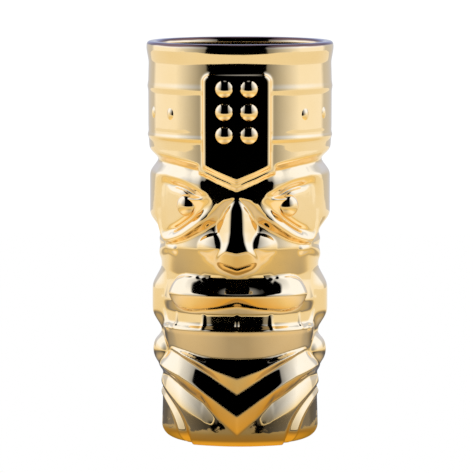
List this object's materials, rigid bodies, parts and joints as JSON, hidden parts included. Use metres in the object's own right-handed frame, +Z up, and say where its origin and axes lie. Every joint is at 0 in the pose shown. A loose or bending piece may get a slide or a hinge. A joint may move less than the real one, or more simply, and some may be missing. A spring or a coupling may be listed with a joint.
{
  "type": "tiki mug",
  "caption": "Straight ceramic tiki mug with a tiki face in relief, a tall studded hat, V-shaped chest bands and a gold lustre glaze.",
  "frame": {"origin": "centre of the flat foot, on the surface that the mug stands on", "axes": "+Z up along the axis of the cup; the face looks along -Y; +X is to the right of somebody facing the mug"},
  "size_m": [0.0744, 0.0766, 0.16],
  "materials": {
    "gold_lustre": "mirror-bright gold lustre over glazed ceramic",
    "bronze_rim": "dark purple-bronze edge of the lustre at the lip"
  },
  "bodies": {
    "root": {"belly_band": "gold_lustre", "cheek_fold_left": "gold_lustre", "cheek_fold_right": "gold_lustre", "chest_band": "gold_lustre", "cup_body": "gold_lustre", "ear_left": "gold_lustre", "ear_plug_left": "gold_lustre", "ear_plug_right": "gold_lustre", "ear_right": "gold_lustre", "eye_rim_left": "gold_lustre", "eye_rim_right": "gold_lustre", "eyeball_left": "gold_lustre", "eyeball_right": "gold_lustre", "foot_left": "gold_lustre", "foot_right": "gold_lustre", "forehead": "gold_lustre", "hair_band": "gold_lustre", "hat_band": "gold_lustre", "hat_front_panel": "gold_lustre", "hat_studs": "gold_lustre", "leg_left": "gold_lustre", "leg_right": "gold_lustre", "lower_hat_cord": "gold_lustre", "lower_lip": "gold_lustre", "nape_hair": "gold_lustre", "nose": "gold_lustre", "nostril_left": "gold_lustre", "nostril_right": "gold_lustre", "panel_studs": "gold_lustre", "rim_bead": "bronze_rim", "tooth_plate": "gold_lustre", "upper_hat_cord": "gold_lustre", "upper_lip": "gold_lustre"}
  },
  "joints": []
}
